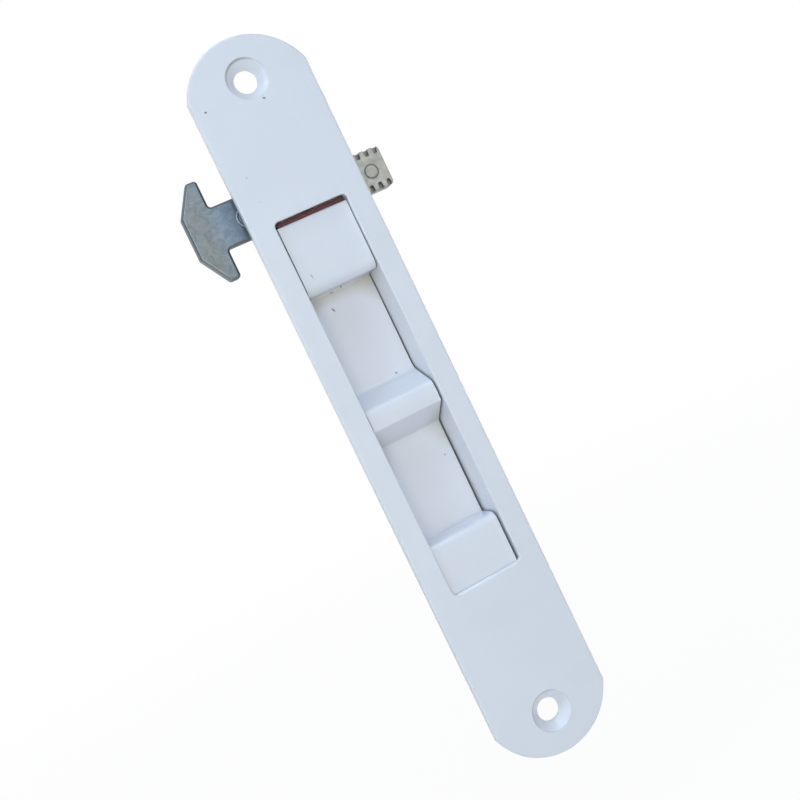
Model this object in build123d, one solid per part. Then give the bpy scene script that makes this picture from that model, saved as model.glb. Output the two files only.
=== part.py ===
from build123d import *
from math import atan, degrees, sqrt
import os

# A flush window latch: a face plate with a box cast behind it, a thumb slide that runs
# up and down in the box, and a cross bar with a T hook that the slide carries.
# Frame: X across, Z up the long side, Y into the window frame, the mounting plane at
# Y = 0 and the middle between the two screw holes at X = Z = 0. All sizes in millimetres.
# "deep" sizes are measured from the front face inward, "high" ones along Z.

# Face plate
plate_width = 29.5
plate_length = 180.0
plate_thick = 3.0
end_rise_share = 0.3468
edge_radius = 0.5
rim_thick = 2.0
rim_step = 0.45
hole_inset = 10.0
hole_radius = 2.73
sink_radius = 4.83
sink_deep = 2.4
sink_step = 0.35
relief_deep = 1.3
relief_rim = 1.8
relief_web = 3.2
hole_boss_radius = 6.0

# Window in the plate and the box behind it
window_width = 18.3
window_top_margin = 41.9
window_bottom_margin = 44.5
window_corner = 1.2
lip_bevel = 0.15
low_lip = 0.5
skin_thick = 1.2
cradle_skin = 2.2
box_wall = 1.5
box_deep = 13.5
box_corner = 1.2
boss_radius = 2.4
boss_across = 6.2
pilot_radius = 1.25
pilot_deep = 5.0

# Thumb slide, at rest at the bottom of its travel
travel = 6.0
slide_play = 0.35
lean_share = 0.75
pad_deep = 1.3
floor_deep = 10.0
floor_thick = 1.4
slide_wall = 1.5
open_gap = 1.3
tuck_low = 4.5
pad_high_length = 16.9
pad_low_length = 17.2
pad_edge = 2.0
pad_end_edge = 0.4
pad_foot = 0.5
pad_lean = 0.1
hump_drop = 0.15
crest_length = 5.0
ramp_high = 4.3
ramp_low = 4.6
crest_dome = 0.25
crest_round = 6.0
crest_high_edge = 1.8
crest_low_edge = 0.5
ramp_high_foot = 2.4
ramp_low_foot = 1.0
rib_thick = 1.2
rib_low = 3.0

# Cradle at the slide's upper end and the cross bar it holds
bar_lift = 3.35
bar_deep = 7.0
rack_width = 9.8
rack_thick = 4.0
rack_proud = 8.45
rack_corner = 1.0
tooth_pitch = 2.25
tooth_shift = -0.35
notch_mouth = 1.2
notch_root = 0.8
notch_deep = 1.55
notch_floor = 1.2
tooth_play = 0.12
cradle_front = 2.0
cradle_wall = 2.4
clamp_boss_wall = 1.2
clamp_boss_front = 2.7
adjust_shift = 2.2
adjust_travel = 9.0
bar_slot_gap = 0.45
disc_radius = 1.5
disc_groove = 0.25
disc_inset = 3.95
disc_drop = 0.3
core_start = 11.0
core_wall = 1.8
core_half = 2.2

# T hook
hook_thick = 2.2
hook_rise = 1.45
hook_gap = 4.85
head_width = 6.95
shelf_lap = 2.0
hook_flat = 5.05
hook_reach = 12.05
hook_tip = 2.6
hook_root_radius = 0.8
hook_tip_radius = 0.85
hook_heel_radius = 1.2
stem_width = 10.3
tongue_lap = 0.6
hook_chamfer = 0.55
rivet_lap = 0.5
rivet_pitch = 4.4
rivet_margin = 2.6
rivet_head = 1.95
rivet_tail = 1.8
rivet_shank = 1.25
rivet_sink = 0.8

# Fastenings and small parts
screw_radius = 2.0
screw_head = 3.5
screw_tip_deep = 3.6
recess_share = 0.57
head_edge = 0.5
washer_radius = 4.0
washer_thick = 0.7
fit_gap = 0.05
cover_thick = 1.0
cover_flange = 3.0
flange_thick = 0.7
bead_width = 2.4
bead_deep = 0.5
bead_across = 5.4
bead_inset = 6.0
flange_inset = 2.0
flange_short = 4.0
cover_screw_head = 2.3
cover_screw_high = 1.5
cover_screw_radius = 1.2
buffer_thick = 1.2
buffer_half = 6.5
lug_half = 4.0
lug_long = 1.0
lug_front = 6.2
lug_back = 7.8
stop_gap = 0.1
spring_thick = 0.35
spring_width = 5.0
spring_chord = 16.0
spring_foot = 1.5
spring_rib = 0.8
glide_width = 1.3
lug_wide = 0.9
glide_lug_half = 2.0
red_thick = 0.45
red_deep = 0.7
red_high = 1.05
red_foot = 0.7

# Derived sizes
half_plate = plate_width / 2
half_length = plate_length / 2
half_window = window_width / 2
hole_pitch = plate_length - 2 * hole_inset
window_high = half_length - window_top_margin
window_low = window_bottom_margin - half_length
half_slide = half_window - slide_play
slide_low = window_low - tuck_low
pad_high_top = window_high - open_gap
pad_high_foot = pad_high_top - pad_high_length
pad_low_top = slide_low + pad_low_length
hump_middle = (pad_high_foot + pad_low_top) / 2 - hump_drop
hump_crest_high = hump_middle + crest_length / 2
hump_crest_low = hump_middle - crest_length / 2
hump_foot_high = hump_crest_high + ramp_high
hump_foot_low = hump_crest_low - ramp_low
bar_high = window_high + bar_lift
hook_high = bar_high + hook_rise
floor_back = floor_deep + floor_thick
rack_right = half_plate + rack_proud
hook_arm = -half_plate - hook_gap
hook_out = hook_arm - head_width
rack_left = hook_arm + shelf_lap
rivet_in = rivet_lap - half_slide
rivet_out = rivet_in - rivet_pitch
stem_end = rivet_in + rivet_margin
tongue_start = -half_slide - tongue_lap
rivets = [(rivet_out, hook_high), (rivet_in, bar_high)]
cradle_high = bar_high + rack_width / 2 + stop_gap + cradle_wall
box_high = cradle_high + travel + stop_gap + buffer_thick
box_low = slide_low - stop_gap - buffer_thick
half_box = half_window + box_wall
boss_high = box_high + box_wall + boss_radius * 0.8
boss_low = box_low - box_wall - boss_radius * 0.8
bosses = [(x, z) for z in (boss_high, boss_low) for x in (-boss_across, boss_across)]
slot_low = min(bar_high - rack_width / 2, hook_high - stem_width / 2) - bar_slot_gap
slot_high = max(bar_high + rack_width / 2, hook_high + stem_width / 2) + travel + bar_slot_gap
slide_middle = (slide_low + cradle_high) / 2
slide_lean = degrees(atan(lean_share * slide_play / (cradle_high - slide_middle)))


def across(deep):
    """A plane facing the viewer at a depth below the front face: sketch X, Z."""
    return Plane(origin=(0, deep - plate_thick, 0), x_dir=(1, 0, 0), z_dir=(0, -1, 0))


def beside(x):
    """A plane facing +X at a given X: sketch Y, Z."""
    return Plane(origin=(x, 0, 0), x_dir=(0, 1, 0), z_dir=(1, 0, 0))


def slab(sketch, front, back):
    """A sketch of X and Z made solid between two depths below the front face."""
    return extrude(across(back) * sketch, amount=back - front, dir=(0, -1, 0))


def block(x0, x1, z0, z1, front, back, radius=0):
    """A block between two X, two Z and two depths, its corners rounded in X and Z."""
    middle = ((x0 + x1) / 2, (z0 + z1) / 2)
    if radius:
        shape = RectangleRounded(x1 - x0, z1 - z0, radius)
    else:
        shape = Rectangle(x1 - x0, z1 - z0)
    return slab(Pos(*middle) * shape, front, back)


def rod(radius, x, z, front, back):
    """A round bar along Y."""
    return slab(Pos(x, z) * Circle(radius), front, back)


def outline(corners):
    """A closed face from (u, v, radius) corners."""
    face = make_face(Polyline(*[(u, v) for u, v, _ in corners], close=True))
    for radius in sorted({r for _, _, r in corners if r}, reverse=True):
        points = [Vector(u, v) for u, v, r in corners if r == radius]
        chosen = [face.vertices().sort_by_distance(p)[0] for p in points]
        face = fillet(chosen, radius)
    return face


def side_solid(corners, x0, x1):
    """An outline of (depth, height, radius) corners, solid from x0 to x1."""
    shifted = [(deep - plate_thick, high, radius) for deep, high, radius in corners]
    return extrude(beside(x0) * outline(shifted), amount=x1 - x0, dir=(1, 0, 0))


def cross_recess(x, z, back, head_radius):
    """The cross-shaped recess of a screw that is driven from behind."""
    size = 2 * head_radius * recess_share
    arm = size / 4
    cross = Rectangle(size, arm) + Rectangle(arm, size)
    return slab(Pos(x, z) * cross, back - arm, back + arm)


def edges_at(solid, deep, tolerance=0.02):
    """Edges that lie wholly at one depth below the front face."""
    y = deep - plate_thick
    found = []
    for edge in solid.edges():
        box = edge.bounding_box()
        if abs(box.min.Y - y) < tolerance and abs(box.max.Y - y) < tolerance:
            found.append(edge)
    return ShapeList(found)


def rounded_by_facets(solid, rim, deep, radius):
    """A front edge rounded in three flat steps, tangent to the arc of the given radius."""
    wide = radius * (2 - sqrt(2))
    solid = chamfer(rim, wide)
    steps = list(edges_at(solid, deep)) + list(edges_at(solid, deep + wide))
    steps = [e for e in steps if on_outer_side(e)]
    return chamfer(ShapeList(steps), radius * 0.24)


def on_outer_side(edge):
    """True for the edges of the plate's own outline, not of its holes."""
    box = edge.bounding_box()
    return max(abs(box.min.X), abs(box.max.X)) > half_plate - 2 * edge_radius


def in_window(edge):
    """True for the edges of the window's rim."""
    place = edge.center()
    return abs(place.X) < half_window + 0.1 and window_low - 0.1 < place.Z < window_high + 0.1


def plate_outline():
    """Straight sides closed by two arcs that are flatter than half circles."""
    shoulder = half_length - end_rise_share * plate_width
    lines = Line((half_plate, -shoulder), (half_plate, shoulder))
    lines += ThreePointArc((half_plate, shoulder), (0, half_length), (-half_plate, shoulder))
    lines += Line((-half_plate, shoulder), (-half_plate, -shoulder))
    lines += ThreePointArc((-half_plate, -shoulder), (0, -half_length), (half_plate, -shoulder))
    return make_face(lines)


def window_sketch():
    """The window that the thumb slide is seen through."""
    middle = (window_low + window_high) / 2
    shape = RectangleRounded(window_width, window_high - window_low, window_corner)
    return Pos(0, middle) * shape


def face_plate():
    """The die-cast plate with its box, screw bosses, side slots and sunk screw holes."""
    outer = plate_outline()
    plate = slab(outer, 0, rim_thick)
    plate += slab(offset(outer, -rim_step), rim_thick, plate_thick)
    plate = rounded_by_facets(plate, edges_at(plate, 0), 0, edge_radius)

    # Shallow reliefs behind both ends, with a rim and a boss round each screw hole
    inner = offset(outer, -relief_rim)
    relief = slab(inner, plate_thick - relief_deep, plate_thick)
    kept = block(-half_plate, half_plate, boss_low - relief_web, boss_high + relief_web,
                 0, box_deep)
    for z in (-hole_pitch / 2, hole_pitch / 2):
        kept += rod(hole_boss_radius, 0, z, 0, box_deep)
    plate -= relief - kept

    # Box walls and the four screw bosses behind the plate
    plate += block(-half_box, half_box, box_low - box_wall, box_high + box_wall,
                   plate_thick, box_deep, box_corner)
    for x, z in bosses:
        plate += rod(boss_radius, x, z, plate_thick - relief_deep, box_deep)

    # The space inside: thin skins over the pads' ends, thicker over the cradle
    pad_reach = pad_high_top + red_high + travel + 0.5
    plate -= block(-half_window, half_window, box_low, pad_reach, skin_thick, box_deep)
    plate -= block(-half_window, half_window, box_low, box_high, cradle_skin, box_deep)

    # The window, with a fine bevel all round and a wider one along its lower edge
    plate -= slab(window_sketch(), 0, plate_thick)
    rim = [e for e in edges_at(plate, 0) if in_window(e)]
    plate = chamfer(ShapeList(rim), lip_bevel)
    half_lip = half_window - window_corner
    plate -= side_solid([(-1, window_low - low_lip - 1, 0), (low_lip, window_low, 0),
                         (low_lip, window_low + 1, 0), (-1, window_low + 1, 0)],
                        -half_lip, half_lip)

    # Slots in both side walls for the cross bar, open toward the cover
    plate -= block(-half_box - 1, half_box + 1, slot_low, slot_high, bar_deep - 0.5, box_deep)

    # Sunk screw holes
    for z in (-hole_pitch / 2, hole_pitch / 2):
        cone = Plane(origin=(0, 0, z), x_dir=(1, 0, 0), z_dir=(0, 0, 1)) * outline(
            [(0, -plate_thick, 0), (sink_radius, -plate_thick, 0),
             (sink_radius, sink_step - plate_thick, 0),
             (hole_radius, sink_deep - plate_thick, 0), (hole_radius, 0, 0), (0, 0, 0)])
        plate -= revolve(cone, Axis((0, 0, z), (0, 1, 0)), 360)

    # Pilot holes for the cover's screws, and slots for the buffers' lugs
    for x, z in bosses:
        plate -= rod(pilot_radius, x, z, box_deep - pilot_deep, box_deep)
    for z0, z1 in ((box_high, box_high + lug_long), (box_low - lug_long, box_low)):
        plate -= block(-lug_half - fit_gap, lug_half + fit_gap, z0, z1,
                       lug_front - fit_gap, lug_back + fit_gap)
    return plate


def slide_profile():
    """The slide's outer section: pad, trough, hump, trough, pad, from top to bottom."""
    front = pad_deep
    dome = pad_deep - crest_dome
    return [
        (front, pad_high_top, pad_end_edge),
        (floor_back, pad_high_top, 0),
        (floor_back, slide_low, 0),
        (front, slide_low, pad_end_edge),
        (front, pad_low_top - pad_lean, pad_edge),
        (floor_deep, pad_low_top, pad_foot),
        (floor_deep, hump_foot_low, ramp_low_foot),
        (front, hump_crest_low, crest_low_edge),
        (dome, hump_middle, crest_round),
        (front, hump_crest_high, crest_high_edge),
        (floor_deep, hump_foot_high, ramp_high_foot),
        (floor_deep, pad_high_foot - pad_lean, pad_foot),
        (front, pad_high_foot, pad_edge),
    ]


def slide_hollows():
    """The hollows cored into the back of both pads and the hump, with their ribs."""
    wide = half_slide - slide_wall
    top = pad_deep + slide_wall
    low = floor_back
    pads = [(pad_high_foot + slide_wall, pad_high_top - slide_wall),
            (slide_low + slide_wall, pad_low_top - slide_wall - pad_lean)]
    hollow = None
    for z0, z1 in pads:
        room = block(-wide, wide, z0, z1, top, low, 1.0)
        room -= block(-rib_thick / 2, rib_thick / 2, z0, z1, top, low)
        middle = (z0 + z1) / 2
        room -= block(-wide, wide, middle - rib_thick / 2, middle + rib_thick / 2,
                      top, low - rib_low)
        hollow = room if hollow is None else hollow + room
    wall = slide_wall * 1.2
    hump = side_solid([(top, hump_crest_low + 0.6, 0.5), (low, hump_foot_low + wall, 0),
                       (low, hump_foot_high - wall, 0), (top, hump_crest_high - 0.6, 0.8)],
                      -wide, wide)
    hump -= block(-rib_thick / 2, rib_thick / 2, hump_foot_low, hump_foot_high, top, low)
    return hollow + hump


def rack_teeth(upper):
    """The cradle's teeth along one edge of the cross bar."""
    sign = 1 if upper else -1
    edge = bar_high + sign * (rack_width / 2 + stop_gap)
    tip = bar_high + sign * (rack_width / 2 - notch_deep + tooth_play)
    half_base = notch_mouth / 2 - tooth_play
    half_tip = notch_root / 2 - tooth_play
    count = int((half_slide - 1.0) / tooth_pitch)
    teeth = None
    for step in range(-count, count + 1):
        x = step * tooth_pitch + tooth_shift
        root = edge + sign * 0.5
        tooth = make_face(Polyline((x - half_base, root), (x + half_base, root),
                                   (x + half_base, edge), (x + half_tip, tip),
                                   (x - half_tip, tip), (x - half_base, edge), close=True))
        solid = slab(tooth, bar_deep, bar_deep + notch_floor - stop_gap)
        teeth = solid if teeth is None else teeth + solid
    return teeth


def thumb_slide():
    """The white slide: two pads, a hump and, under the plate's skin, the bar's cradle."""
    slide = side_solid(slide_profile(), -half_slide, half_slide)
    slide -= slide_hollows()

    # Cradle: a front wall with the screw boss, and a toothed wall below and above the bar
    low_edge = bar_high - rack_width / 2 - stop_gap
    high_edge = bar_high + rack_width / 2 + stop_gap
    slide += block(-half_slide, half_slide, pad_high_top - slide_wall, cradle_high,
                   bar_deep - cradle_front, bar_deep)
    slide += block(-half_slide, half_slide, high_edge, cradle_high, bar_deep, floor_back)
    slide -= block(-half_slide, half_slide, low_edge, high_edge, bar_deep, floor_back)
    slide += rack_teeth(True) + rack_teeth(False)
    slide += rod(screw_radius + clamp_boss_wall, 0, bar_high, clamp_boss_front, bar_deep)
    slide -= rod(screw_radius + fit_gap, 0, bar_high, clamp_boss_front + 0.6, bar_deep)

    # Low ribs that keep each leaf spring in its place under the trough floors
    half_rib = spring_width / 2 + spring_rib
    for z in spring_places():
        for side in (-1, 1):
            inner = z + side * (spring_chord / 2 + 0.35)
            outer = inner + side * spring_rib
            slide += block(-half_rib, half_rib, min(inner, outer), max(inner, outer),
                           floor_back, floor_back + spring_rib)

    # Slots for the glide strips' lugs
    for x in (-glide_across(), glide_across()):
        for z in glide_lugs():
            slide -= glide_lug(x, z, fit_gap)
    return slide


def spring_places():
    """Heights of the two leaf springs: the middles of the two troughs."""
    return [(hump_foot_high + pad_high_foot) / 2, (hump_foot_low + pad_low_top) / 2]


def glide_across():
    """How far the glide strips lie from the slide's middle line."""
    return half_slide - slide_wall / 2


def glide_lugs():
    """Heights of the lugs that hold each glide strip: under both pads and the hump."""
    low = (slide_low + pad_low_top) / 2
    high = (pad_high_top + pad_high_foot) / 2
    return [low, hump_middle, high]


def glide_lug(x, z, gap=0.0):
    """One lug of a glide strip, or with a gap its slot in the slide."""
    half = lug_wide / 2 + gap
    return block(x - half, x + half, z - glide_lug_half - gap, z + glide_lug_half + gap,
                 floor_back - 1.0 - 2 * gap, floor_back)


def glide_strip(side):
    """A nylon strip with three lugs that runs on the cover under one edge of the slide."""
    x = side * glide_across()
    strip = block(x - glide_width / 2, x + glide_width / 2, slide_low + 2, pad_high_top - 2,
                  floor_back, box_deep - stop_gap)
    for z in glide_lugs():
        strip += glide_lug(x, z)
    return strip


def indicator_strip():
    """The red strip that shows at the slide's upper end while the latch is open."""
    half = half_slide - 0.5
    face = bar_deep - cradle_front
    front = pad_deep + red_deep
    strip = block(-half, half, pad_high_top, pad_high_top + red_thick, front, face)
    strip += block(-half, half, pad_high_top, pad_high_top + red_high, front, front + red_thick)
    strip += block(-half, half, pad_high_top, pad_high_top + red_foot, face - red_thick, face)
    return strip


def rack_block():
    """The toothed cross bar: blind notches on both edges, a clamp slot, a shelf for the hook."""
    low = bar_high - rack_width / 2
    high = bar_high + rack_width / 2
    back = bar_deep + rack_thick
    shape = outline([(rack_left, low, 1.0), (rack_right, low, rack_corner),
                     (rack_right, high, rack_corner), (rack_left, high, 1.0)])
    last = int(round((rack_right - 0.8) / tooth_pitch))
    first = -int((half_slide - 1.0) / tooth_pitch) + 1
    bar = slab(shape, bar_deep, back)
    for step in range(first - 1, last + 1):
        x = step * tooth_pitch + tooth_shift
        for sign, edge in ((1, high), (-1, low)):
            root = edge - sign * notch_deep
            mouth = edge + sign * 0.2
            notch = make_face(Polyline((x - notch_mouth / 2, mouth), (x + notch_mouth / 2, mouth),
                                       (x + notch_mouth / 2, edge), (x + notch_root / 2, root),
                                       (x - notch_root / 2, root), (x - notch_mouth / 2, edge),
                                       close=True))
            bar -= slab(notch, bar_deep, bar_deep + notch_floor)

    # Cut back behind the hook's stem, which lies higher than the bar
    stem_low = hook_high - stem_width / 2 + hook_chamfer
    bar -= block(rack_left - 1, tongue_start, low - 1, stem_low, bar_deep, back)

    # The clamp slot, a seat for the hook's tongue and the rivets' holes
    slot = SlotCenterToCenter(adjust_travel, 2 * screw_radius + 0.2)
    bar -= slab(Pos(adjust_shift, bar_high) * slot, bar_deep, back)
    bar -= block(rack_left - 1, stem_end + stop_gap, low - 1, high + 1,
                 bar_deep, bar_deep + hook_thick)
    for x, z in rivets:
        bar -= rod(rivet_shank + fit_gap, x, z, bar_deep, back)
        bar -= rod(rivet_tail + fit_gap, x, z, back - rivet_sink, back)

    # A round ejector pad at the free end, standing in a fine ring groove
    ring = Circle(disc_radius + disc_groove) - Circle(disc_radius)
    place = Pos(rack_right - disc_inset, bar_high - disc_drop)
    bar -= slab(place * ring, bar_deep, bar_deep + disc_groove)

    # A cored pocket in the back of the free end
    bar -= block(core_start, rack_right - core_wall, bar_high - core_half, bar_high + core_half,
                 back - core_half, back)
    return bar


def hook_bar():
    """The steel T hook: flat outer edge, sloping shoulders, two arms, a stem and a tongue."""
    half_stem = stem_width / 2
    half_tongue = rack_width / 2 - notch_deep - stop_gap
    head = [(tongue_start, half_stem, 0), (hook_arm, half_stem, hook_root_radius),
            (hook_arm, hook_reach, hook_tip_radius),
            (hook_arm - hook_tip, hook_reach, hook_tip_radius),
            (hook_out, hook_flat, hook_heel_radius)]
    head += [(x, -z, r) for x, z, r in reversed(head)]
    shape = Pos(0, hook_high) * outline(head)
    shape += Pos((tongue_start + stem_end) / 2, bar_high) * Rectangle(
        stem_end - tongue_start, 2 * half_tongue)
    hook = slab(shape, bar_deep, bar_deep + hook_thick)
    rim = edges_at(hook, bar_deep).filter_by(lambda e: e.center().X < rivet_out)
    hook = chamfer(rim, hook_chamfer)
    for x, z in rivets:
        hook -= rod(rivet_shank + fit_gap, x, z, bar_deep, bar_deep + hook_thick)
        hook -= rod(rivet_head + fit_gap, x, z, bar_deep, bar_deep + rivet_sink)
    return hook


def rivet(x, z):
    """A rivet flush with the hook's face and with the back of the cross bar."""
    back = bar_deep + rack_thick
    pin = rod(rivet_head, x, z, bar_deep, bar_deep + rivet_sink)
    pin += rod(rivet_shank, x, z, bar_deep, back)
    pin += rod(rivet_tail, x, z, back - rivet_sink, back)
    return pin


def clamp_screw():
    """The screw that clamps the cross bar into the cradle, driven from behind."""
    seat = bar_deep + rack_thick + washer_thick
    top = box_deep - stop_gap
    screw = rod(screw_radius, 0, bar_high, screw_tip_deep, seat)
    head = rod(screw_head, 0, bar_high, seat, top)
    screw += chamfer(edges_at(head, top), head_edge)
    return screw - cross_recess(0, bar_high, top, screw_head)


def clamp_washer():
    """The washer that spans the bar's clamp slot under the screw's head."""
    seat = bar_deep + rack_thick
    ring = rod(washer_radius, 0, bar_high, seat, seat + washer_thick)
    return ring - rod(screw_radius + 0.15, 0, bar_high, seat, seat + washer_thick)


def back_cover():
    """The pressed steel cover: two stiffening beads, side flanges and a driver slot."""
    back = box_deep + cover_thick
    low = boss_low - boss_radius
    high = boss_high + boss_radius
    cover = block(-half_box, half_box, low, high, box_deep, back, boss_radius)

    # Beads pressed outward on both sides of the springs' track
    bead_low = slide_low + bead_inset
    bead_high = slot_low - bead_inset
    half = bead_width / 2
    rim = bead_deep * 0.8
    for x in (-bead_across, bead_across):
        cover += block(x - half - rim, x + half + rim, bead_low - rim, bead_high + rim,
                       back, back + bead_deep, half)
        cover -= block(x - half, x + half, bead_low, bead_high,
                       box_deep, box_deep + bead_deep, half * 0.98)

    # Side flanges folded forward over the box walls, short of the bar's slots
    for side in (-1, 1):
        inner = side * (half_box + fit_gap)
        outer = side * (half_box + fit_gap + flange_thick)
        z0 = box_low + flange_inset
        z1 = slot_low - flange_short
        cover += block(min(inner, outer), max(inner, outer), z0, z1,
                       box_deep - cover_flange, back)
        web = side * (half_box - 1)
        cover += block(min(web, outer), max(web, outer), z0, z1, box_deep, back)

    # The slot that lets a driver reach the clamp screw over the whole travel
    slot = SlotCenterToCenter(travel, 2 * screw_head + 1.0, 90)
    cover -= slab(Pos(0, bar_high + travel / 2) * slot, box_deep, back)
    for x, z in bosses:
        cover -= rod(cover_screw_radius + 0.15, x, z, box_deep, back)
    return cover


def cover_screw(x, z):
    """A pan-head screw that holds the cover to one boss."""
    back = box_deep + cover_thick
    top = back + cover_screw_high
    head = rod(cover_screw_head, x, z, back, top)
    head = chamfer(edges_at(head, top), head_edge)
    screw = head + rod(cover_screw_radius, x, z, box_deep - pilot_deep + 0.6, back)
    return screw - cross_recess(x, z, top, cover_screw_head)


def leaf_spring(z):
    """A bowed strip with flat feet: it rubs on the cover, so the slide stays put."""
    rise = box_deep - floor_back - 2 * fit_gap - spring_thick
    chord = spring_chord - 2 * spring_foot
    radius = chord ** 2 / (8 * rise) + rise / 2
    foot = floor_back + fit_gap - plate_thick
    reach = 2 * radius
    half_reach = reach * chord / 2 / (radius - rise)
    ring = Circle(radius + spring_thick) - Circle(radius)
    wedge = make_face(Polyline((0, 0), (reach, half_reach), (reach, -half_reach), close=True))
    bow = Pos(foot + rise - radius, z) * (ring & wedge)
    for side in (-1, 1):
        middle = z + side * (spring_chord - spring_foot) / 2
        bow += Pos(foot + spring_thick / 2, middle) * Rectangle(spring_thick, spring_foot + 0.6)
    return extrude(beside(-spring_width / 2) * bow, amount=spring_width, dir=(1, 0, 0))


def buffer(upper):
    """A rubber strip with a lug, at the end of the box where the slide stops."""
    tip = lug_long - 2 * fit_gap
    if upper:
        z0, z1 = box_high - buffer_thick, box_high
        lug_low, lug_high = z1, z1 + tip
    else:
        z0, z1 = box_low, box_low + buffer_thick
        lug_low, lug_high = z0 - tip, z0
    strip = block(-buffer_half, buffer_half, z0, z1, lug_front - 1.0, lug_back + 1.0)
    return strip + block(-lug_half, lug_half, lug_low, lug_high, lug_front, lug_back)


def build():
    """Every separate piece of the latch by name."""
    slider = {
        "thumb_slide": thumb_slide(),
        "indicator_strip": indicator_strip(),
        "rack_block": rack_block(),
        "hook_bar": hook_bar(),
        "hook_rivet_outer": rivet(*rivets[0]),
        "hook_rivet_inner": rivet(*rivets[1]),
        "clamp_screw": clamp_screw(),
        "clamp_washer": clamp_washer(),
        "glide_strip_left": glide_strip(-1),
        "glide_strip_right": glide_strip(1),
    }
    for name, z in zip(("upper", "lower"), spring_places()):
        slider["leaf_spring_" + name] = leaf_spring(z)

    # The slide and all that it carries lean a little in the window, within its play
    pivot = Axis((0, 0, slide_middle), (0, 1, 0))
    pieces = {name: solid.rotate(pivot, slide_lean) for name, solid in slider.items()}

    pieces["face_plate"] = face_plate()
    pieces["back_cover"] = back_cover()
    pieces["buffer_upper"] = buffer(True)
    pieces["buffer_lower"] = buffer(False)
    for number, (x, z) in enumerate(bosses, 1):
        pieces["cover_screw_" + str(number)] = cover_screw(x, z)
    return pieces


os.makedirs("parts", exist_ok=True)
for name, solid in build().items():
    export_step(solid, "parts/" + name + ".step")
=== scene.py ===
# %% [markdown]
# # A flush window latch
#
# A white die-cast plate lies flush on a window sash. A thumb slide runs up and down in its
# window, and a cross bar behind the plate carries a steel T hook that catches the keeper.
# The pieces come from the CAD model at their real size, in metres, so this script gives them
# their finishes, makes the screws and the rivet head in full, and sets light and camera.

# %% The frame
import bpy
import math
import numpy as np
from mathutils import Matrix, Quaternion, Vector


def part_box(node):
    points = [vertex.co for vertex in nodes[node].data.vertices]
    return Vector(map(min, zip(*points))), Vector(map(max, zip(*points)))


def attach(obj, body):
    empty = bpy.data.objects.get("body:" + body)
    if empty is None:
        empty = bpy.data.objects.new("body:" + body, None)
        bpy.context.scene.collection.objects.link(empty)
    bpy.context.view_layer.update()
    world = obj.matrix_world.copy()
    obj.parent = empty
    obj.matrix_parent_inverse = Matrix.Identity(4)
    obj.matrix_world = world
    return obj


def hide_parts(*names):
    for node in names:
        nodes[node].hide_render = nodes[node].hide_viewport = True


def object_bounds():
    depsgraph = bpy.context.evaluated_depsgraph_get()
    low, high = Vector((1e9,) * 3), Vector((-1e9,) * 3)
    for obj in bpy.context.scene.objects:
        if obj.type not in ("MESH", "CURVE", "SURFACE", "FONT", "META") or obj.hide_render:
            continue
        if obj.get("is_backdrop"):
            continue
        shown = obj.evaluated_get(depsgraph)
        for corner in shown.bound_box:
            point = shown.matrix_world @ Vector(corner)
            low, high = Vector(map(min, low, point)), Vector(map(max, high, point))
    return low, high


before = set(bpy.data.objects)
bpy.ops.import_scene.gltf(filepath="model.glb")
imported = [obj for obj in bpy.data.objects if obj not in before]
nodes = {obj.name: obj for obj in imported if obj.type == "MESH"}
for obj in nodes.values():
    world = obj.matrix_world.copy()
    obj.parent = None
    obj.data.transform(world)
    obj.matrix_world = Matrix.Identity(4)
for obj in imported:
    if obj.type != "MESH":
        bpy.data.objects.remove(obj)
cad_low, cad_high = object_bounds()
mm = 0.001
face_y = cad_low.y
box_size = [round((b - a) / mm, 1) for a, b in zip(cad_low, cad_high)]
print("pieces:", len(nodes), "box in mm:", box_size)

# %% [markdown]
# ## Colours and nodes
# Colours are written as the hex values that an eye or a colour picker reads from a photograph.
# Blender mixes light in linear values, so one function turns the one into the other.
# A second small function adds a shader node with its settings and links in one line.


# %% Colour and node helpers
def linear(hex_colour):
    """sRGB hex to linear RGBA: below 0.04045 c / 12.92, above it ((c + 0.055) / 1.055) ** 2.4."""
    code = hex_colour.lstrip("#")
    values = [int(code[i:i + 2], 16) / 255 for i in (0, 2, 4)]
    return [v / 12.92 if v <= 0.04045 else ((v + 0.055) / 1.055) ** 2.4 for v in values] + [1.0]


def add(tree, kind, inputs=None, **settings):
    """A node of one kind; inputs are plain values, or (node, output) pairs to be linked."""
    node = tree.nodes.new("ShaderNode" + kind)
    for key, value in settings.items():
        setattr(node, key, value)
    for key, value in (inputs or {}).items():
        if isinstance(value, tuple) and isinstance(value[0], bpy.types.Node):
            tree.links.new(value[0].outputs[value[1]], node.inputs[key])
        else:
            node.inputs[key].default_value = value
    return node


def new_material(name, roughness, metallic=0.0, **sockets):
    """A material with one Principled shader; its constant values sit on the shader's sockets."""
    material = bpy.data.materials.new(name)
    material.use_nodes = True
    tree = material.node_tree
    shader = tree.nodes["Principled BSDF"]
    shader.inputs["Roughness"].default_value = roughness
    shader.inputs["Metallic"].default_value = metallic
    for key, value in sockets.items():
        shader.inputs[key.replace("_", " ")].default_value = value
    return material, tree, shader


def per_mm(size):
    """The scale of a texture whose features are to be this many millimetres wide."""
    return 1.0 / (size * mm)


# %% [markdown]
# ## Tones in patches
# A real surface is never one flat tone, so each finish gets two close tones in cloudy patches.
# Noise is turned into an amount from 0 to 1, and that amount mixes the two.


# %% Tones and patches
def ramp(tree, source, low, high, dark, light):
    """Colour that runs from dark to light while source goes from low to high."""
    amount = add(tree, "MapRange", {"Value": source, "From Min": low, "From Max": high})
    return add(tree, "Mix", {0: (amount, 0), 6: linear(dark), 7: linear(light)},
               data_type="RGBA")


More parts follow.
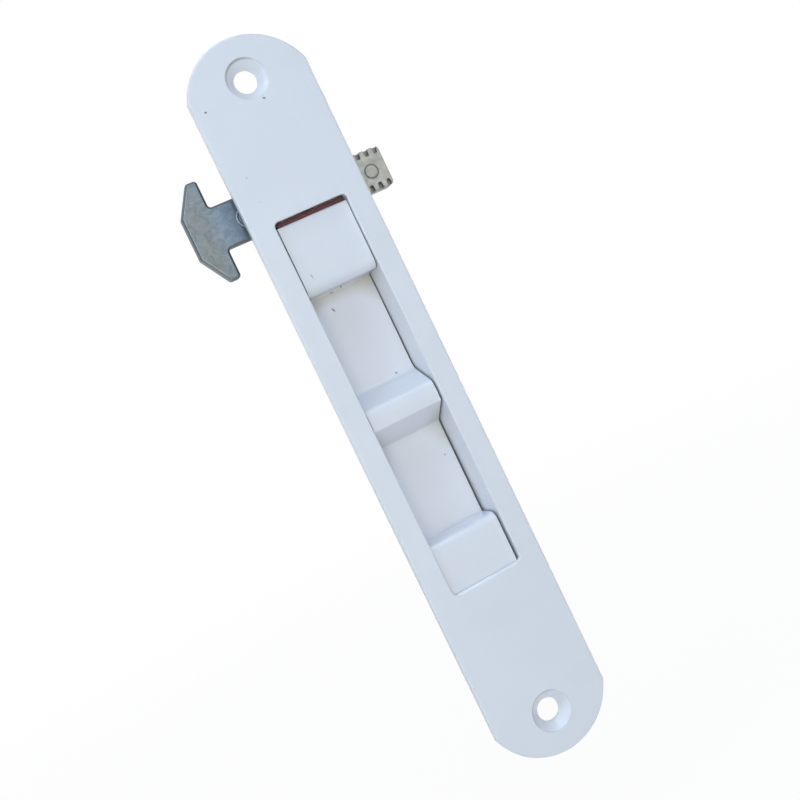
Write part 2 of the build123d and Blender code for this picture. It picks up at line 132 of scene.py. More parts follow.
def patches(tree, place, size, detail, dark, light):
    """Two close tones in cloudy patches of this many millimetres."""
    noise = add(tree, "TexNoise", {"Vector": (place, "Object"), "Scale": per_mm(size),
                                   "Detail": detail})
    return ramp(tree, (noise, 0), 0.3, 0.7, dark, light)


# %% [markdown]
# ## Edges that catch the light
# No cast or blanked edge is perfectly sharp, and its tiny round is what draws a bright line
# round each piece. Modelling every round costs many faces. Blender's Bevel node bends the
# shading normal near an edge instead, so a 0.2 mm round costs nothing in the mesh. The same
# node finds the edges: there its normal leaves the true one.


# %% Soft edges, grain and masks
def surface_normal(tree, shader, edge, height, strength, distance):
    """Normal = edge round of a given radius in mm, then a bump from a height in mm."""
    soft = add(tree, "Bevel", {"Radius": edge * mm}, samples=6)
    bump = add(tree, "Bump", {"Height": height, "Strength": strength, "Distance": distance * mm,
                              "Normal": (soft, 0)})
    tree.links.new(bump.outputs[0], shader.inputs["Normal"])


def fine_grain(tree, shader, place, edge, size, detail, strength, distance):
    """Soft edges and a grain of this many millimetres, both on the normal."""
    noise = add(tree, "TexNoise", {"Vector": (place, "Object"), "Scale": per_mm(size),
                                   "Detail": detail})
    surface_normal(tree, shader, edge, (noise, 0), strength, distance)


def edge_mask(tree, radius):
    """1 within radius (mm) of an edge: there the rounded normal leaves the true one."""
    soft = add(tree, "Bevel", {"Radius": radius * mm}, samples=6)
    true = add(tree, "NewGeometry")
    same = add(tree, "VectorMath", {0: (soft, 0), 1: (true, "Normal")}, operation="DOT_PRODUCT")
    return add(tree, "MapRange", {"Value": (same, "Value"), "From Min": 0.995, "From Max": 0.93})


def largest(tree, masks):
    """The largest of several masks at each point, so that marks lie over each other."""
    total = masks[0]
    for mask in masks[1:]:
        total = add(tree, "Math", {0: (total, 0), 1: (mask, 0)}, operation="MAXIMUM")
    return total


# %% [markdown]
# ## Marks on the powder coat
# The few dark specks and scratches of the real latch are small stretched spots, each with a
# place and a size in millimetres. Painted shadow lies on the upper left rim of each
# countersink, painted shade along the plate's long sides where they meet the sash, and a warm
# painted shade in the corners below the upper pad and the hump.

# %% Specks and scratches
# x, depth below the face, z, length, width (mm), turn (degrees) and darkness of each speck
specks_on_plate = [
    (-12.0, 0.0, 76.4, 0.60, 0.50, 0.0, 0.95),
    (1.6, 0.0, 74.6, 0.80, 0.50, 20.0, 0.85),
    (-10.1, 0.0, 59.7, 0.55, 0.40, 0.0, 0.35),
    (-9.7, 0.0, 53.7, 0.50, 0.40, 0.0, 0.15),
]
specks_on_slide = [
    (-6.1, 1.3, 34.0, 1.30, 0.40, 74.0, 0.40),
    (1.25, 9.8, 29.7, 0.60, 0.45, 0.0, 0.70),
    (-1.4, 9.9, 29.3, 1.00, 0.55, 10.0, 0.35),
    (-2.8, 10.0, 25.5, 1.30, 0.42, 61.0, 0.85),
    (4.3, 9.6, 5.8, 0.70, 0.45, 20.0, 0.70),
    (6.4, 10.0, -16.8, 0.60, 0.40, 30.0, 0.55),
]
# x, z and rim radius of the countersinks, and where the plate's back and sides lie (mm)
sink_rims = [(0.0, 80.0, 4.75), (0.0, -80.0, 4.75)]
plate_back, plate_side = 2.0, 14.4
# Heights of the corners with painted shade below the upper pad and below the hump (mm)
shaded_corners = [28.5, -10.0]
print("specks:", len(specks_on_plate) + len(specks_on_slide))


# %% [markdown]
# Each kind of mark is a mask: a value from 0 for clean to 1 for covered, worked out from the
# point's place on the latch. Where two kinds meet, the larger value counts.


# %% Masks for specks and rims
def speck_mask(tree, place, specks):
    """Each speck: distance from its centre in an ellipsoid's own units, dark inside, 0 outside."""
    spots = []
    for x, depth, z, length, width, turn, dark in specks:
        centre = (x * mm, face_y + depth * mm, z * mm)
        local = add(tree, "Mapping", {"Vector": (place, "Object"), "Location": centre,
                                      "Rotation": (0.0, math.radians(turn), 0.0),
                                      "Scale": (length / 2 * mm, 1.0 * mm, width / 2 * mm)},
                    vector_type="TEXTURE")
        far = add(tree, "VectorMath", {0: (local, 0)}, operation="LENGTH")
        spots.append(add(tree, "MapRange", {"Value": (far, "Value"), "From Min": 1.1,
                                            "From Max": 0.6, "To Min": 0.0, "To Max": dark}))
    return largest(tree, spots)


def rim_shadow_mask(tree, place, rims):
    """Painted shadow on each rim: full on the circle, none from 7% off it, and only on the upper
    left.
    """
    upper_left = (-0.6, 0.0, 0.8)
    darkening = []
    for x, z, radius in rims:
        local = add(tree, "Mapping", {"Vector": (place, "Object"),
                                      "Location": (x * mm, 0.0, z * mm),
                                      "Scale": (radius * mm, 1000.0, radius * mm)},
                    vector_type="TEXTURE")
        far = add(tree, "VectorMath", {0: (local, 0)}, operation="LENGTH")
        off = add(tree, "Math", {0: (far, "Value"), 1: 1.0}, operation="SUBTRACT")
        gap = add(tree, "Math", {0: (off, 0)}, operation="ABSOLUTE")
        ring = add(tree, "MapRange", {"Value": (gap, 0), "From Min": 0.07, "From Max": 0.015})
        toward = add(tree, "VectorMath", {0: (local, 0), 1: upper_left},
                     operation="DOT_PRODUCT")
        sector = add(tree, "MapRange", {"Value": (toward, "Value"), "From Min": 0.1,
                                        "From Max": 0.8})
        darkening.append(add(tree, "Math", {0: (ring, 0), 1: (sector, 0)}, operation="MULTIPLY"))
    return add(tree, "Math", {0: (largest(tree, darkening), 0), 1: 0.45}, operation="MULTIPLY")


# %% [markdown]
# Two more masks of painted shade follow the shape itself: the seam where the plate meets the
# sash, and the corners that walls close in. Ambient occlusion tells how open a point is: 1 is
# quite open, and the value falls where walls stand near it.


# %% Masks for the seam and the corners
def seam_shade_mask(tree, apart, back, side):
    """Painted shade on the long sides, beyond side (mm), in the last 0.7 mm before the plate's
    back.
    """
    behind = add(tree, "MapRange", {"Value": (apart, "Y"),
                                    "From Min": face_y + (back - 0.7) * mm,
                                    "From Max": face_y + (back - 0.4) * mm,
                                    "To Min": 0.0, "To Max": 0.6})
    out = add(tree, "Math", {0: (apart, "X")}, operation="ABSOLUTE")
    flank = add(tree, "MapRange", {"Value": (out, 0), "From Min": side * mm,
                                   "From Max": (side + 0.1) * mm})
    return add(tree, "Math", {0: (behind, 0), 1: (flank, 0)}, operation="MULTIPLY")


def corner_shade(tree, apart, under, heights):
    """Painted warm shade where walls stand within 6 mm, and within 3 to 6 mm of each height (mm).
    """
    for height in heights:
        near = add(tree, "AmbientOcclusion", {"Distance": 6.0 * mm}, samples=8)
        enclosed_shade = add(tree, "MapRange", {"Value": (near, "AO"), "From Min": 0.35, "From Max": 0.8,
                                      "To Min": 0.6, "To Max": 0.0})
        above = add(tree, "Math", {0: (apart, "Z"), 1: height * mm}, operation="SUBTRACT")
        away = add(tree, "Math", {0: (above, 0)}, operation="ABSOLUTE")
        beside = add(tree, "MapRange", {"Value": (away, 0), "From Min": 3.0 * mm,
                                        "From Max": 6.0 * mm, "To Min": 1.0, "To Max": 0.0})
        shade_here = add(tree, "Math", {0: (enclosed_shade, 0), 1: (beside, 0)}, operation="MULTIPLY")
        under = add(tree, "Mix", {0: (shade_here, 0), 6: (under, 2), 7: linear("#a5a28c")},
                    data_type="RGBA")
    return under


# %% [markdown]
# ## Powder coat
# The plate and the thumb slide are zinc castings under a cool white powder coat: plastic
# powder that was sprayed on dry and melted in an oven. It gives the eye a satin gloss with a
# thin clear shine on top, a faint orange peel, and rounded edges that catch the light.


# %% Powder coat material
def powder_coat(name, specks, heights=(), rims=(), back=0.0, side=0.0):
    """Satin white: two whites in 22 mm clouds, orange peel 0.7 mm wide, specks, painted shade."""
    material, tree, shader = new_material(name, roughness=0.38, Coat_Weight=0.6,
                                          Coat_Roughness=0.1)
    place = add(tree, "TexCoord")
    apart = add(tree, "SeparateXYZ", {0: (place, "Object")})
    base = patches(tree, place, 22, 3.0, "#e4e6eb", "#e9ebf0")
    shaded_base = corner_shade(tree, apart, base, heights)

    # Painted shade: the coat darkens where walls stand within 1 mm of each other
    near = add(tree, "AmbientOcclusion", {"Distance": 1.0 * mm}, samples=8)
    gap_shade = add(tree, "MapRange", {"Value": (near, "AO"), "From Min": 0.1, "From Max": 0.4,
                                  "To Min": 0.7, "To Max": 0.0})
    marks = [speck_mask(tree, place, specks), gap_shade]
    if rims:
        marks += [rim_shadow_mask(tree, place, rims), seam_shade_mask(tree, apart, back, side)]
    # Specks are real dirt; the rest of this darkening is painted shade and painted shadow
    darkening = largest(tree, marks)
    colour = add(tree, "Mix", {0: (darkening, 0), 6: (shaded_base, 2), 7: linear("#3a4149")},
                 data_type="RGBA")
    tree.links.new(colour.outputs[2], shader.inputs["Base Color"])
    fine_grain(tree, shader, place, edge=0.22, size=0.7, detail=1.0, strength=0.18,
               distance=0.02)
    return material


# %% [markdown]
# ## Metals
# Three metal finishes show at the sides. The toothed bar is a raw zinc die casting: dull,
# grey and slightly mottled where the melt met the cold mould, with painted shade in its
# recesses and along its edges. The T hook is blanked from steel strip and zinc plated, which
# leaves a soft grey mirror, mottled and bluer toward the stem, with a painted highlight along
# the head's edges. The back cover is galvanised sheet with its pattern of large crystals.


# %% Raw casting, sheet and plain metal
def zinc_casting(name):
    """Raw die casting: grey, mottled over 1.5 mm, grain 0.25 mm, painted shade in recesses, edges.
    """
    material, tree, shader = new_material(name, roughness=0.5, metallic=0.75)
    place = add(tree, "TexCoord")
    base = patches(tree, place, 1.5, 4.0, "#9a9a92", "#b8b8b0")
    # Painted shade: darker in the recesses and along the edges
    near = add(tree, "AmbientOcclusion", {"Distance": 1.6 * mm}, samples=8)
    deep = add(tree, "MapRange", {"Value": (near, "AO"), "From Min": 0.97, "From Max": 0.4,
                                  "To Min": 0.0, "To Max": 0.5})
    edges = add(tree, "Math", {0: (edge_mask(tree, 0.5), 0), 1: 0.3}, operation="MULTIPLY")
    recess_and_edge_shade = largest(tree, [deep, edges])
    colour = add(tree, "Mix", {0: (recess_and_edge_shade, 0), 6: (base, 2), 7: linear("#4d4e4b")},
                 data_type="RGBA")
    tree.links.new(colour.outputs[2], shader.inputs["Base Color"])
    fine_grain(tree, shader, place, edge=0.25, size=0.25, detail=2.0, strength=0.25,
               distance=0.02)
    return material


def galvanised_sheet(name):
    """Hot-dip zinc: flat crystals about 5 mm wide, each of its own grey."""
    material, tree, shader = new_material(name, roughness=0.42, metallic=0.9)
    place = add(tree, "TexCoord")
    bend = add(tree, "TexNoise", {"Vector": (place, "Object"), "Scale": per_mm(4.0),
                                  "Detail": 2.0})
    warped = add(tree, "VectorMath", {0: (bend, "Color"), 1: (2 * mm, 2 * mm, 2 * mm),
                                      2: (place, "Object")}, operation="MULTIPLY_ADD")
    crystal = add(tree, "TexVoronoi", {"Vector": (warped, 0), "Scale": per_mm(5.0)})
    tone = add(tree, "SeparateColor", {0: (crystal, "Color")})
    base = ramp(tree, (tone, 0), 0.0, 1.0, "#9ca1a6", "#b4b8bc")
    tree.links.new(base.outputs[2], shader.inputs["Base Color"])
    rough = add(tree, "MapRange", {"Value": (tone, 1), "To Min": 0.32, "To Max": 0.5})
    tree.links.new(rough.outputs[0], shader.inputs["Roughness"])
    fine_grain(tree, shader, place, edge=0.15, size=0.4, detail=2.0, strength=0.1,
               distance=0.01)
    return material


def plain_metal(name, dark, light, roughness):
    """A plain metal finish: two close greys over 2 mm patches and a 0.3 mm grain."""
    material, tree, shader = new_material(name, roughness=roughness, metallic=0.95)
    place = add(tree, "TexCoord")
    base = patches(tree, place, 2.0, 4.0, dark, light)
    tree.links.new(base.outputs[2], shader.inputs["Base Color"])
    fine_grain(tree, shader, place, edge=0.1, size=0.3, detail=2.0, strength=0.1,
               distance=0.01)
    return material


# %% [markdown]
# The strip of the T hook is the metal that the eye rests on. Its colour is built in layers,
# each mixed over the last: a cloudy tint, fine rubs, the bevels' painted light, and a painted
# highlight with a painted shade line along the head's edges.


# %% Zinc-plated strip
def plated_steel(name, neutral, blue, rub, bevel, start, end):
    """Plated strip: neutral up to X = start, bluer from X = end (mm), rubs, painted light on
    edges.
    """
    material, tree, shader = new_material(name, roughness=0.4, metallic=0.9)
    place = add(tree, "TexCoord")
    apart = add(tree, "SeparateXYZ", {0: (place, "Object")})
    tint = ramp(tree, (apart, "X"), start * mm, end * mm, neutral, blue)
    cloud = add(tree, "TexNoise", {"Vector": (place, "Object"), "Scale": per_mm(1.9),
                                   "Detail": 5.0, "Distortion": 1.2})
    shade = ramp(tree, (cloud, 0), 0.3, 0.7, "#d6d8da", "#ffffff")
    mottled = add(tree, "Mix", {0: 1.0, 6: (tint, 2), 7: (shade, 2)}, data_type="RGBA",
                  blend_type="MULTIPLY")

    # Fine rubs: noise drawn out to thin streaks, of which only the peaks show
    turned = add(tree, "Mapping", {"Vector": (place, "Object"), "Scale": (0.35, 1.0, 1.0),
                                   "Rotation": (0.0, math.radians(35.0), 0.0)})
    rubs = add(tree, "TexNoise", {"Vector": (turned, 0), "Scale": per_mm(0.8), "Detail": 3.0})
    lines = add(tree, "MapRange", {"Value": (rubs, 0), "From Min": 0.58, "From Max": 0.76,
                                   "To Min": 0.0, "To Max": 0.35})
    rubbed = add(tree, "Mix", {0: (lines, 0), 6: (mottled, 2), 7: linear(rub)},
                 data_type="RGBA")

    # The bevels are duller, and painted light makes them a little lighter where they face down
    facing = add(tree, "SeparateXYZ", {0: (place, "Normal")})
    square = add(tree, "Math", {0: (facing, "Y")}, operation="ABSOLUTE")
    tilted = add(tree, "MapRange", {"Value": (square, 0), "From Min": 0.97, "From Max": 0.85})
    under = ramp(tree, (facing, "Z"), -0.45, -0.1, "#868d90", bevel)
    bevelled = add(tree, "Mix", {0: (tilted, 0), 6: (rubbed, 2), 7: (under, 2)},
                   data_type="RGBA")

    # Along the head's edges a painted highlight, with a painted shade line beside it
    head = add(tree, "MapRange", {"Value": (apart, "X"), "From Min": (start + 1.0) * mm,
                                  "From Max": start * mm, "To Min": 0.0, "To Max": 0.6})
    edge_shade_line = add(tree, "Math", {0: (edge_mask(tree, 0.45), 0), 1: (head, 0)},
                operation="MULTIPLY")
    shade_lined = add(tree, "Mix", {0: (edge_shade_line, 0), 6: (bevelled, 2), 7: linear("#4c5154")},
                data_type="RGBA")
    edge_highlight = add(tree, "Math", {0: (edge_mask(tree, 0.2), 0), 1: (head, 0)},
               operation="MULTIPLY")
    colour = add(tree, "Mix", {0: (edge_highlight, 0), 6: (shade_lined, 2), 7: linear("#e2e8eb")},
                 data_type="RGBA")
    tree.links.new(colour.outputs[2], shader.inputs["Base Color"])

    # Roughness 0.34 to 0.48 on the flat, 0.65 on the bevels
    rough = add(tree, "MapRange", {"Value": (rubs, 0), "From Min": 0.3, "From Max": 0.7,
                                   "To Min": 0.34, "To Max": 0.48})
    dull = largest(tree, [rough, tilted])
    dulled = add(tree, "Math", {0: (dull, 0), 1: 0.65}, operation="MINIMUM")
    tree.links.new(dulled.outputs[0], shader.inputs["Roughness"])
    surface_normal(tree, shader, edge=0.12, height=(rubs, 0), strength=0.12, distance=0.01)
    return material


# %% [markdown]
# ## Plastics and rubber
# The red strip and the nylon glides are injection moulded, and the end stops are moulded
# rubber. All three are matte to satin and have the mould's fine spark-eroded grain.


# %% Moulded materials
def moulded(name, dark, light, roughness, **sockets):
    """Moulded plastic or rubber: two close tones over 3 mm and a spark-eroded 0.2 mm grain."""
    material, tree, shader = new_material(name, roughness=roughness, **sockets)
    place = add(tree, "TexCoord")
    base = patches(tree, place, 3.0, 2.0, dark, light)
    tree.links.new(base.outputs[2], shader.inputs["Base Color"])
    fine_grain(tree, shader, place, edge=0.1, size=0.2, detail=2.0, strength=0.15,
               distance=0.01)
    return material


# %% [markdown]
# ## Each piece gets its finish
# Five pieces that show in the photograph, and the cover, have finishes of their own. The
# others share one by what they are: a screw, a rivet, a spring, a glide or a rubber stop.

# %% Finishes by piece
screw_steel = plain_metal("zinc-plated screw steel", "#a5a8ac", "#b9bcc0", 0.3)
rivet_steel = plain_metal("zinc-plated rivet steel", "#5c6772", "#69747f", 0.46)
# The burr's lighter steel is a painted highlight, where its rim catches the light
burr_highlight_steel = plain_metal("rivet burr, painted highlight", "#84909b", "#929da8", 0.38)
spring_steel = plain_metal("blued spring steel", "#5a5f68", "#6a707a", 0.3)
nylon = moulded("natural nylon", "#dedacf", "#e8e4da", 0.4, Subsurface_Weight=0.1)
stop_rubber = moulded("black rubber", "#1d1e20", "#27282a", 0.7)
finishes = {
    "face_plate": powder_coat("plate powder coat, cool white", specks_on_plate,
                              rims=sink_rims, back=plate_back, side=plate_side),
    "thumb_slide": powder_coat("slide powder coat, cool white", specks_on_slide,
                               heights=shaded_corners),
    # The strip's dark maroon is red plastic with painted shade from the plate's edge
    "indicator_strip": moulded("red indicator plastic", "#58222a", "#622931", 0.5),
    "rack_block": zinc_casting("raw zinc die casting"),
    "hook_bar": plated_steel("zinc-plated steel strip", neutral="#7c8180", blue="#7a8894",
                             rub="#a2a9ac", bevel="#687073", start=-22.5, end=-18.0),
    "back_cover": galvanised_sheet("galvanised steel sheet"),
}
by_kind = {"screw": screw_steel, "washer": screw_steel, "rivet": rivet_steel,
           "spring": spring_steel, "glide": nylon, "buffer": stop_rubber}
for name, node in nodes.items():
    shared = [finish for kind, finish in by_kind.items() if kind in name]
    node.data.materials.clear()
    node.data.materials.append(finishes[name] if name in finishes else shared[0])
print("finishes:", len(set(node.data.materials[0].name for node in nodes.values())))

# %% [markdown]
# ## Turned pieces: screws and the rivet head
# A screw is a profile turned about its axis, so a grid of rings and turns describes it: each
# ring has a radius and a height. The head's cross recess and the thread change those with the
# angle as well, which a plain lathe can't do but a formula can. The whole grid is worked out
# at once with numpy and put into the mesh in one call.


# %% A closed surface from rings of points
def skin(name, rings, first_pole, last_pole):
    """A grid of rings (ring, turn, xyz) closed by a pole at each end, with its faces outward."""
    count, turns, _ = rings.shape
    points = np.concatenate([rings.reshape(-1, 3), [first_pole], [last_pole]])
    index = np.arange(count * turns).reshape(count, turns)
    after = np.roll(index, -1, axis=1)
    quads = np.stack([index[:-1], after[:-1], after[1:], index[1:]], axis=-1).reshape(-1, 4)
    first, last = count * turns, count * turns + 1
    start = np.stack([np.full(turns, first), after[0], index[0]], axis=-1)
    end = np.stack([np.full(turns, last), index[-1], after[-1]], axis=-1)
    faces = quads.tolist() + start.tolist() + end.tolist()

    # Where most of the area looks toward the middle, every face is turned over
    corners = points[quads]
    area = np.cross(corners[:, 2] - corners[:, 0], corners[:, 3] - corners[:, 1])
    if (area * (corners.mean(1) - points.mean(0))).sum() < 0:
        faces = [face[::-1] for face in faces]
    mesh = bpy.data.meshes.new(name)
    mesh.from_pydata(points.tolist(), [], faces)
    mesh.shade_smooth()
    piece = bpy.data.objects.new(name, mesh)
    bpy.context.scene.collection.objects.link(piece)
    return piece


# %% [markdown]
# The head is a low dome with a cross recess, and the recess takes up a chosen share of the
# head's radius and height. The thread goes down to 84% of the shank's radius, and leaves a
# plain neck under the head and a blunt tip.

# %% The screw's shares and its formula
recess_reach, recess_arm, recess_depth = 0.56, 0.3, 0.62
domed_share, thread_root = 0.55, 0.84
neck, blunt = 0.6 * mm, 0.4 * mm


def cross_depth(x, z, reach, arm, deep):
    """Depth of a cross recess: full inside either arm, sloping to nothing at its end and walls."""
    slope, floor_rise = 0.45 * arm, 0.45

    def inside(gap):
        return np.clip(gap / slope + 0.5, 0.0, 1.0)

    upright = inside(arm / 2 - np.abs(x)) * inside(reach - np.abs(z))
    level = inside(arm / 2 - np.abs(z)) * inside(reach - np.abs(x))
    taper = 1.0 - floor_rise * np.clip(np.hypot(x, z) / reach, 0.0, 1.0)
    return deep * taper * np.maximum(upright, level)


def pan_screw(name, centre, head_radius, head_high, shank_radius, pitch):
    """Head: its height follows the cube root of (1 - share of the radius cubed), less the recess.
    Thread: the shank's radius swings from its root to full and back once in a turn."""
    box_low, box_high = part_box(name)
    top, seat, tip = box_high.y, box_high.y - head_high * mm, box_low.y
    turns, head_rings, shank_rings = 72, 44, 60
    angle = np.linspace(0.0, 2 * np.pi, turns, endpoint=False)
    share = np.linspace(0.02, 1.0, head_rings) ** 0.8
    radius = head_radius * mm * share[:, None] * np.ones(turns)
    x, z = radius * np.cos(angle), radius * np.sin(angle)
    dome = (1.0 - share ** 3) ** (1 / 3)
    head_y = top - domed_share * (top - seat) * (1.0 - dome[:, None])
    head_y = head_y - cross_depth(x, z, recess_reach * head_radius * mm,
                                  recess_arm * head_radius * mm, recess_depth * head_high * mm)
    head = np.stack([x, head_y, z], axis=-1)

    levels = np.linspace(seat, tip + blunt, shank_rings)[:, None]
    phase = (levels / (pitch * mm) - angle / (2 * np.pi)) % 1.0
    swing = np.abs(phase - 0.5) * 2.0
    body = shank_radius * mm * (thread_root + (1.0 - thread_root) * swing)
    body = np.where(levels > seat - neck, shank_radius * mm, body)
    shank = np.stack([body * np.cos(angle), levels * np.ones(turns), body * np.sin(angle)],
                     axis=-1)
    under = head[-1:].copy()
    under[..., 1] = seat
    rings = np.concatenate([head, under, shank])
    rings[..., 0] += centre[0]
    rings[..., 2] += centre[1]
    first = (centre[0], float(head_y[0].mean()), centre[1])
    last = (centre[0], tip, centre[1])
    piece = skin(name + "_turned", rings, first, last)
    piece.data.materials.append(screw_steel)
    return piece


# %% [markdown]
# Each full screw takes the place of the plain one in the CAD model, at the same axis and with
# the same head. The clamp screw rides on the slide, the four cover screws stay with the case.

# %% The screws take the places of the plain ones
# Height of the head, radius of the shank and pitch, in mm
clamp_size = (1.7, 2.0, 0.7)
cover_size = (1.5, 1.2, 0.9)
for name in sorted(n for n in nodes if "screw" in n):
    low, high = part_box(name)
    centre = ((low.x + high.x) / 2, (low.z + high.z) / 2)
    head_radius = (high.x - low.x) / 2 / mm
    clamp = name == "clamp_screw"
    screw = pan_screw(name, centre, head_radius, *(clamp_size if clamp else cover_size))
    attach(screw, "slider" if clamp else "case")
    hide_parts(name)
    print(name, "faces:", len(screw.data.polygons))

# %% [markdown]
# The head of the hook's outer rivet lies flush in the steel. Pressing it down raised a thin
# burr round it, with a groove inside, and those two rings are what the eye sees of it. The
# burr's faces have a lighter steel than the rest, as a painted highlight.


# %% The rivet head with its ring
def set_rivet(name, face):
    """A turned rivet: each pair is a radius and a depth below the hook's face (mm)."""
    low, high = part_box(name)
    centre = ((low.x + high.x) / 2, (low.z + high.z) / 2)
    head = [(0.25, 0.03), (1.2, 0.04), (1.6, 0.0), (1.7, 0.1)]
    burr = [(1.88, 0.1), (1.96, -0.08), (2.12, -0.14), (2.3, -0.07), (2.4, 0.02)]
    body = [(1.94, 0.05), (1.94, 0.78), (1.25, 0.8), (1.25, 3.2), (1.79, 3.22), (1.79, 3.95),
            (0.9, 3.97)]
    profile = np.array(head + burr + body)
    turns = 96
    angle = np.linspace(0.0, 2 * np.pi, turns, endpoint=False)

    # Three soft bulges of 2%, outside a radius of 1.9 mm, keep the burr from being quite round
    bulge = 0.02 * np.sin(3 * angle + 0.8) * (profile[:, :1] > 1.9)
    radius = profile[:, :1] * (1.0 + bulge) * mm
    depth = face + profile[:, 1:] * mm * np.ones(turns)
    rings = np.stack([centre[0] + radius * np.cos(angle), depth,
                      centre[1] + radius * np.sin(angle)], axis=-1)
    first = (centre[0], face + profile[0, 1] * mm, centre[1])
    last = (centre[0], face + profile[-1, 1] * mm, centre[1])
    piece = skin(name + "_turned", rings, first, last)
    piece.data.materials.append(rivet_steel)
    piece.data.materials.append(burr_highlight_steel)
    ring_of_face = np.arange(len(piece.data.polygons)) // turns
    burr_start, burr_end = len(head), len(head) + len(burr) - 1
    on_burr = (ring_of_face >= burr_start) & (ring_of_face < burr_end)
    piece.data.polygons.foreach_set("material_index", on_burr.astype(np.int32))
    return piece


rivet = set_rivet("hook_rivet_outer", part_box("hook_rivet_outer")[0].y)
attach(rivet, "slider")
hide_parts("hook_rivet_outer")
print("rivet faces:", len(rivet.data.polygons))

# %% [markdown]
# ## The floor and the backdrop
# A pale floor lies a little below the latch. Seen by the camera, the floor and the world are
# white, as on a page, while the light that falls on the latch stays at a plain level. A node
# that knows what kind of ray asks makes the difference between the two.


# %% White to the eye
def seen_share(tree):
    """1 for rays from the camera, a mirror or glass, 0 for the light that falls on things."""
    path = add(tree, "LightPath")
    total = add(tree, "Math", {0: (path, "Is Camera Ray"), 1: (path, "Is Glossy Ray")},
                operation="ADD")
    return add(tree, "Math", {0: (total, 0), 1: (path, "Is Transmission Ray")}, operation="ADD",
               use_clamp=True)


# %% [markdown]
# The floor is one large square. Near the latch a little of its real paint shows through the
# white, so the latch's soft shadow is seen on it, and further out it fades into the backdrop.

# %% Floor
floor_half = 1.2
floor_z = cad_low.z - 25 * mm
floor_mesh = bpy.data.meshes.new("floor")
floor_mesh.from_pydata([(-floor_half, -floor_half, floor_z), (floor_half, -floor_half, floor_z),
                        (floor_half, floor_half, floor_z), (-floor_half, floor_half, floor_z)],
                       [], [(0, 1, 2, 3)])
floor = bpy.data.objects.new("floor", floor_mesh)
bpy.context.scene.collection.objects.link(floor)
floor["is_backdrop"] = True

# White covers 94% of the paint near the latch and all of it from 0.7 m on
floor_paint, tree, shader = new_material("pale floor", roughness=0.9)
shader.inputs["Base Color"].default_value = linear("#fafafa")
shown = add(tree, "Emission", {"Color": linear("#ffffff"), "Strength": 1.0})
place = add(tree, "TexCoord")
away = add(tree, "VectorMath", {0: (place, "Object")}, operation="LENGTH")
white = add(tree, "MapRange", {"Value": (away, "Value"), "From Min": 0.1, "From Max": 0.7,
                               "To Min": 0.94, "To Max": 1.0})
share = add(tree, "Math", {0: (seen_share(tree), 0), 1: (white, 0)}, operation="MULTIPLY")
both = add(tree, "MixShader", {0: (share, 0), 1: (shader, 0), 2: (shown, 0)})
tree.links.new(both.outputs[0], tree.nodes["Material Output"].inputs["Surface"])
floor.data.materials.append(floor_paint)
print("floor below the latch in mm:", round((cad_low.z - floor_z) / mm))

# %% [markdown]
# The world behind the floor is white to the eye and in reflections too, and only a tenth as
# strong where it falls on the latch as light.

# %% World
ambient_strength = 0.1
world = bpy.data.worlds.new("studio")
bpy.context.scene.world = world
world.use_nodes = True
tree = world.node_tree
background = tree.nodes["Background"]
background.inputs["Color"].default_value = linear("#ffffff")
background.inputs["Strength"].default_value = 1.0
ambient = add(tree, "Background", {"Color": linear("#ffffff"), "Strength": ambient_strength})
mixed = add(tree, "MixShader", {0: (seen_share(tree), 0), 1: (ambient, 0), 2: (background, 0)})
tree.links.new(mixed.outputs[0], tree.nodes["World Output"].inputs["Surface"])
print("world as light:", ambient_strength)

# %% [markdown]
# ## The light
# Four cool soft lamps stand for a window above and on the left, and a warmer one in front for
# the room. The cool light falls along the plate, so it draws the slopes of the troughs and
# leaves the surfaces that face down a neutral grey. Two lamps behind light the back alone.

# %% Lamps
latch_middle = (cad_low + cad_high) / 2


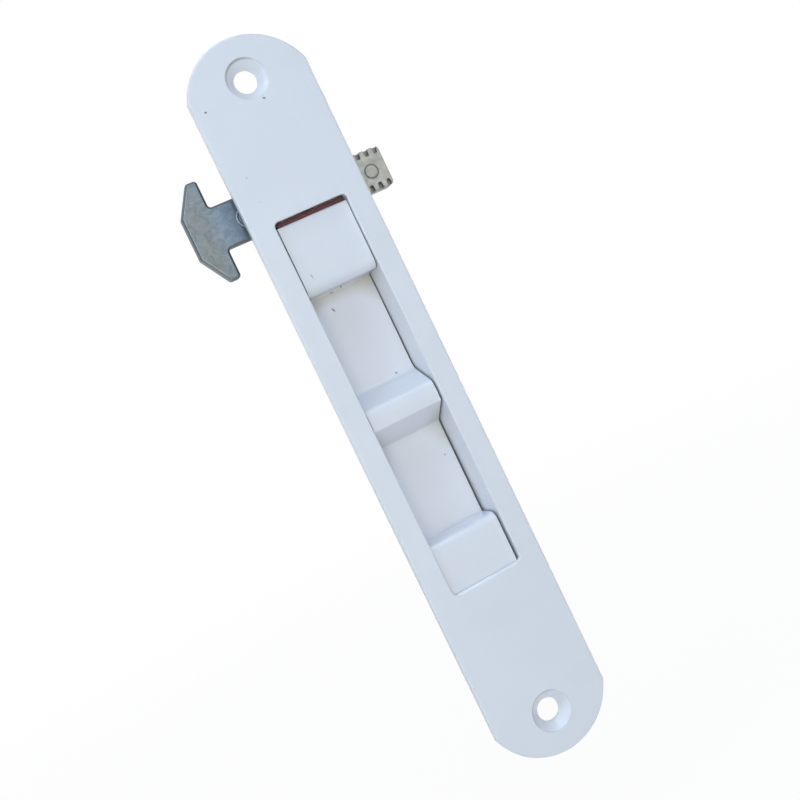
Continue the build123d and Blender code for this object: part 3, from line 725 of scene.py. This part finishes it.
def soft_lamp(name, side, up, distance, size, watts, colour, behind=False):
    """A square lamp, side degrees left of and up degrees above the line square to the face.
    Its distance from the latch's middle and its size are in metres."""
    direction = Vector((-math.tan(math.radians(side)), 1.0 if behind else -1.0,
                        math.tan(math.radians(up)))).normalized()
    light = bpy.data.lights.new(name, "AREA")
    light.size = size
    light.energy = watts
    light.color = linear(colour)[:3]
    lamp = bpy.data.objects.new(name, light)
    bpy.context.scene.collection.objects.link(lamp)
    lamp.location = latch_middle + distance * direction
    lamp.rotation_euler = (-direction).to_track_quat("-Z", "Y").to_euler()


# Name, degrees to the left, degrees up, distance (m), size (m), watts and colour
soft_lamp("window light, high on the left", 62.0, 73.0, 1.2, 0.5, 2.95, "#dbeaff")
soft_lamp("window light, left", 58.0, 30.0, 1.2, 0.6, 1.9, "#b3daff")
soft_lamp("window light, above", 0.0, 66.0, 1.2, 0.7, 4.4, "#d2e8ff")
soft_lamp("window light, in front", 6.0, 23.5, 0.6, 0.07, 0.57, "#b3d4ff")
soft_lamp("room light", 16.0, 0.0, 0.5, 0.25, 0.66, "#fdefcf")
soft_lamp("room light, behind on the right", -45.0, 10.0, 1.2, 0.6, 4.2, "#eef2fb", behind=True)
soft_lamp("room light, behind on the left", 35.0, 2.0, 1.2, 0.8, 2.6, "#f6f4ee", behind=True)
print("lamps:", len(bpy.data.lights))

# %% [markdown]
# ## The camera
# The photograph was taken from the left, a quarter of a metre away, with the camera rolled so
# that the latch runs from the top left to the bottom right. The place, the point it looks at
# and the roll come from a fit to the plate's straight sides and its two screw holes.

# %% Camera
camera_place = Vector((-68.85, -252.81, 13.74)) * mm
camera_aim = Vector((-0.47, -3.0, 0.17)) * mm
camera_roll = 25.75
camera_lens = 51.3
camera = bpy.data.objects.new("camera", bpy.data.cameras.new("camera"))
bpy.context.scene.collection.objects.link(camera)
toward = (camera_aim - camera_place).normalized()
level = toward.to_track_quat("-Z", "Y")
camera.rotation_mode = "QUATERNION"
camera.rotation_quaternion = Quaternion(toward, math.radians(camera_roll)) @ level
camera.location = camera_place
camera.data.lens = camera_lens
camera.data.sensor_width = 36.0
camera.data.clip_start = 0.01
bpy.context.scene.camera = camera
bpy.context.scene.view_settings.view_transform = "Standard"
print("camera distance in mm:", round((camera_aim - camera_place).length / mm))

# %% [markdown]
# ## Sizes
# The whole latch is measured once more, and its size is printed, to be set beside the CAD
# model's box printed at the start.

# %% Sizes, then the end
low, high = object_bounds()
print("visual box in mm:", [round((b - a) / mm, 1) for a, b in zip(low, high)])
